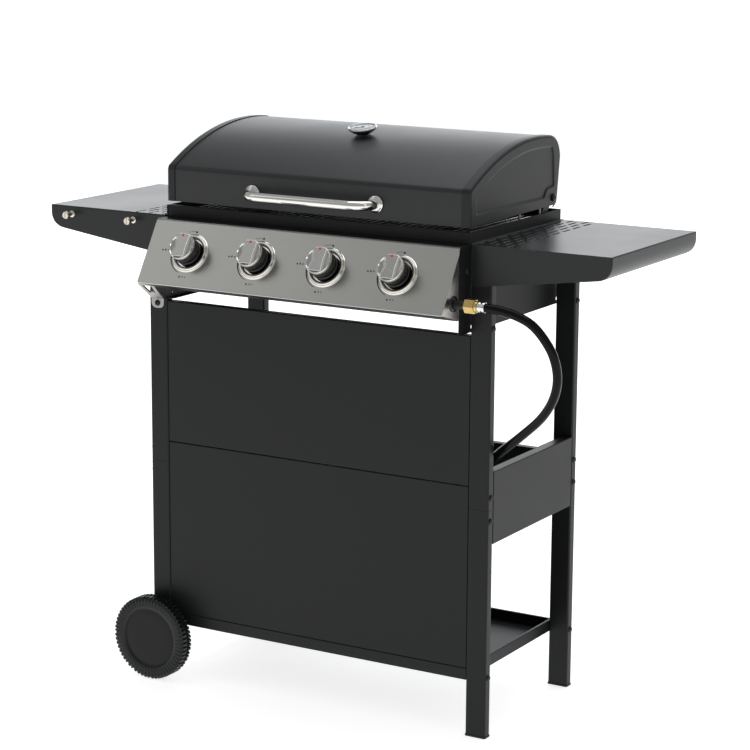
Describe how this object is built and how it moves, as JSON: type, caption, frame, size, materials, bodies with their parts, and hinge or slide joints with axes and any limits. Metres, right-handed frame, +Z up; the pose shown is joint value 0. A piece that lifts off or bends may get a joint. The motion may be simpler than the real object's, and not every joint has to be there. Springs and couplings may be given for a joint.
{
  "type": "gas barbecue grill",
  "caption": "Gas barbecue on a two-wheeled cart with a hinged lid, a sloping control panel with turning knobs, side tables, a closed front and a gas hose.",
  "frame": {"origin": "on the floor, under the middle of the whole object", "axes": "+X to the cook's right, along the grill; +Y to the back; +Z up"},
  "size_m": [1.094, 0.4684, 0.9879],
  "materials": {
    "powder_black": "fine-textured satin powder coat",
    "enamel_black": "satin heat-proof paint, slightly textured",
    "stainless": "brushed along its length",
    "chrome": "polished",
    "grate_enamel": "matt enamel",
    "brass": "machined",
    "black_steel": "black oxide",
    "ceramic": "glazed ceramic",
    "cast_zinc": "as cast, satin",
    "nickel": "nickel plated, satin",
    "zinc_steel": "zinc plated",
    "knob_plastic": "black moulding with a plated cap",
    "wheel_plastic": "moulded, satin",
    "hose_rubber": "smooth, satin"
  },
  "bodies": {
    "root": {"leg_front_left_lower": "powder_black", "leg_front_left_upper": "powder_black", "leg_front_right_lower": "powder_black", "leg_front_right_upper": "powder_black", "leg_rear_left_lower": "powder_black", "leg_rear_left_upper": "powder_black", "leg_rear_right_lower": "powder_black", "leg_rear_right_upper": "powder_black", "foot_caps": "wheel_plastic", "bottom_shelf": "powder_black", "front_panel_lower": "powder_black", "front_panel_upper": "powder_black", "side_panel_left": "powder_black", "side_panel_right": "powder_black", "rear_panel": "powder_black", "firebox": "enamel_black", "firebox_plate_left": "powder_black", "firebox_plate_right": "powder_black", "control_panel": "stainless", "knob_bezels": "chrome", "manifold": "black_steel", "valves": "brass", "burner_1": "stainless", "burner_2": "stainless", "burner_3": "stainless", "burner_4": "stainless", "flame_tamers": "stainless", "igniters": "ceramic", "grate_left": "grate_enamel", "grate_right": "grate_enamel", "warming_rack": "chrome", "hinge_brackets": "powder_black", "hinge_pins": "black_steel", "table_left": "powder_black", "table_right": "powder_black", "tool_pegs": "nickel", "bottle_opener": "cast_zinc", "axle": "zinc_steel", "frame_screws": "black_steel", "gas_hose": "hose_rubber", "hose_nut": "brass", "hose_ferrule": "chrome", "regulator": "cast_zinc"},
    "lid": {"lid_shell": "enamel_black", "lid_cap_left": "enamel_black", "lid_cap_right": "enamel_black", "lid_handle": "chrome", "handle_rosettes": "chrome", "thermometer": "chrome"},
    "stem_1": {"stem_1": "zinc_steel"},
    "knob_1": {"knob_1": "knob_plastic"},
    "stem_2": {"stem_2": "zinc_steel"},
    "knob_2": {"knob_2": "knob_plastic"},
    "stem_3": {"stem_3": "zinc_steel"},
    "knob_3": {"knob_3": "knob_plastic"},
    "stem_4": {"stem_4": "zinc_steel"},
    "knob_4": {"knob_4": "knob_plastic"},
    "wheel_front": {"wheel_front": "wheel_plastic"},
    "wheel_rear": {"wheel_rear": "wheel_plastic"},
    "drip_tray": {"drip_tray": "zinc_steel"}
  },
  "joints": [
    {"name": "lid_hinge", "type": "hinge", "parent": "root", "child": "lid", "pos_m": [0, 0.162, 0.869], "axis": [-1, 0, 0], "range_deg": [0, 80]},
    {"name": "knob_1_turn", "type": "hinge", "parent": "root", "child": "stem_1", "pos_m": [-0.2065, -0.19245, 0.7767], "axis": [0, -0.8508, 0.5255], "range_deg": [0, 180]},
    {"name": "knob_1_push", "type": "slide", "parent": "stem_1", "child": "knob_1", "axis": [0, 0.8508, -0.5255], "range_m": [0, 0.003], "stiffness_N_per_m": 600, "springref_m": -0.004},
    {"name": "knob_2_turn", "type": "hinge", "parent": "root", "child": "stem_2", "pos_m": [-0.0715, -0.19245, 0.7767], "axis": [0, -0.8508, 0.5255], "range_deg": [0, 180]},
    {"name": "knob_2_push", "type": "slide", "parent": "stem_2", "child": "knob_2", "axis": [0, 0.8508, -0.5255], "range_m": [0, 0.003], "stiffness_N_per_m": 600, "springref_m": -0.004},
    {"name": "knob_3_turn", "type": "hinge", "parent": "root", "child": "stem_3", "pos_m": [0.0635, -0.19245, 0.7767], "axis": [0, -0.8508, 0.5255], "range_deg": [0, 180]},
    {"name": "knob_3_push", "type": "slide", "parent": "stem_3", "child": "knob_3", "axis": [0, 0.8508, -0.5255], "range_m": [0, 0.003], "stiffness_N_per_m": 600, "springref_m": -0.004},
    {"name": "knob_4_turn", "type": "hinge", "parent": "root", "child": "stem_4", "pos_m": [0.1985, -0.19245, 0.7767], "axis": [0, -0.8508, 0.5255], "range_deg": [0, 180]},
    {"name": "knob_4_push", "type": "slide", "parent": "stem_4", "child": "knob_4", "axis": [0, 0.8508, -0.5255], "range_m": [0, 0.003], "stiffness_N_per_m": 600, "springref_m": -0.004},
    {"name": "wheel_front_spin", "type": "hinge", "parent": "root", "child": "wheel_front", "pos_m": [-0.3175, -0.16, 0.075], "axis": [0, 1, 0], "continuous": true},
    {"name": "wheel_rear_spin", "type": "hinge", "parent": "root", "child": "wheel_rear", "pos_m": [-0.3175, 0.22, 0.075], "axis": [0, 1, 0], "continuous": true},
    {"name": "drip_tray_slide", "type": "slide", "parent": "root", "child": "drip_tray", "axis": [0, 1, 0], "range_m": [0, 0.23]}
  ]
}
